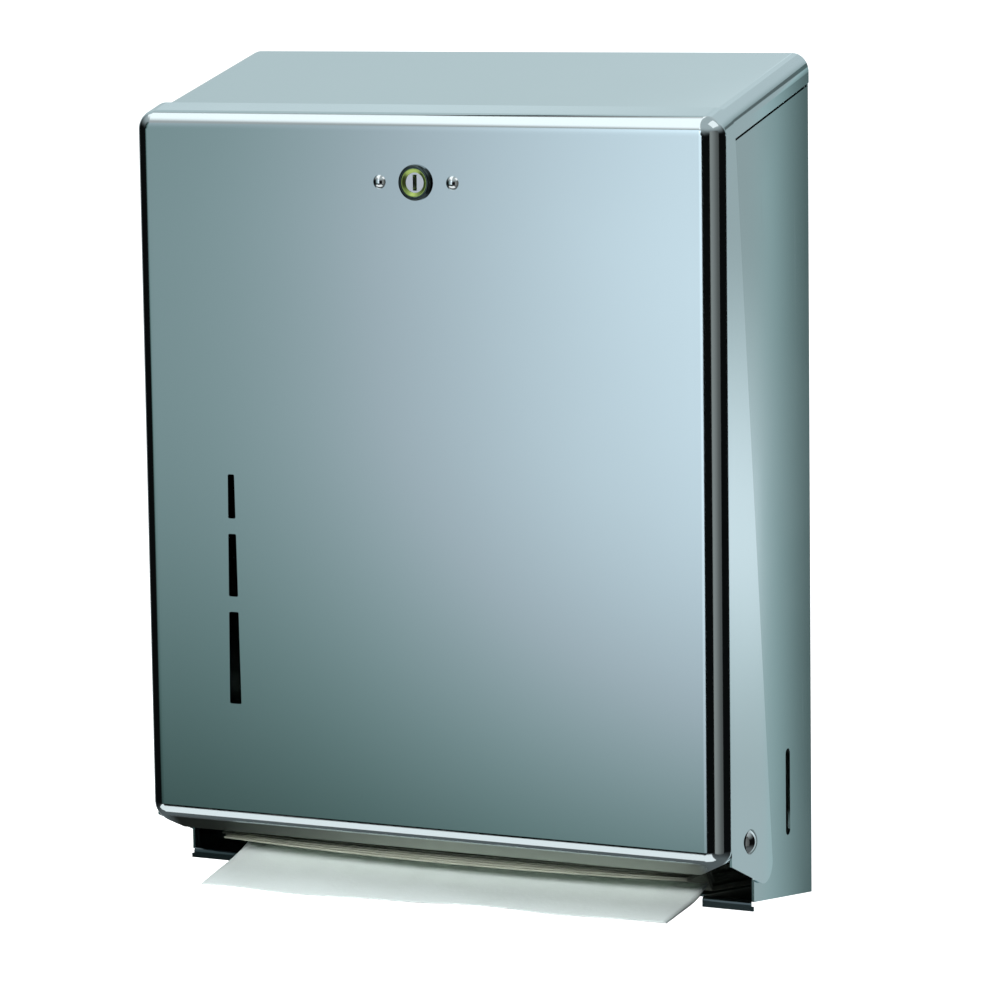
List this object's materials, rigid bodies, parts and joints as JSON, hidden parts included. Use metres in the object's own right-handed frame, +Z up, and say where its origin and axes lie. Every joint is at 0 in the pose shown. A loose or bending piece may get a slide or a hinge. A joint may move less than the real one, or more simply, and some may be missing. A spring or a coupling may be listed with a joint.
{
  "type": "paper towel dispenser",
  "caption": "Wall-mounted dispenser for folded paper towels: slant-topped sheet-metal cabinet, drop-front door with cam lock and refill slits, towels drawn from its open foot.",
  "frame": {"origin": "centre of the four wall screw holes, on the wall plane", "axes": "+X to the right seen from the front, +Y into the wall, +Z up"},
  "size_m": [0.2942, 0.1042, 0.376],
  "materials": {
    "chrome_shell": "mirror-bright sheet steel with a faint cool cast",
    "chrome_trim": "bright plated",
    "plated_steel": "zinc-plated steel, satin",
    "lock_brass": "turned brass",
    "lock_nickel": "nickel-plated, satin",
    "paper": "soft embossed white paper"
  },
  "bodies": {
    "cabinet": {"cabinet_body": "chrome_shell", "top_panel": "chrome_shell", "left_towel_ledge": "chrome_shell", "right_towel_ledge": "chrome_shell", "latch_keeper": "plated_steel", "left_pivot_rivet": "chrome_trim", "right_pivot_rivet": "chrome_trim", "left_pivot_washer": "plated_steel", "right_pivot_washer": "plated_steel", "towel_stack": "paper"},
    "door": {"door_panel": "chrome_shell", "lock_plate": "plated_steel", "lock_rivets": "chrome_trim", "lock_bezel": "chrome_trim", "lock_barrel": "lock_brass", "lock_tooth_washer": "plated_steel", "lock_nut": "plated_steel"},
    "lock": {"lock_plug": "lock_nickel", "lock_wafers": "lock_brass", "lock_cam": "plated_steel", "cam_washer": "plated_steel", "cam_screw": "plated_steel"},
    "towel": {"drawn_towel": "paper"}
  },
  "joints": [
    {"name": "door_hinge", "type": "hinge", "parent": "cabinet", "child": "door", "pos_m": [0, -0.0733, -0.153], "axis": [1, 0, 0], "range_deg": [0, 90]},
    {"name": "lock_turn", "type": "hinge", "parent": "door", "child": "lock", "pos_m": [0, -0.102, 0.133], "axis": [0, -1, 0], "range_deg": [0, 90]},
    {"name": "towel_draw", "type": "slide", "parent": "cabinet", "child": "towel", "axis": [0, -0.9397, -0.342], "range_m": [0, 0.08]}
  ]
}
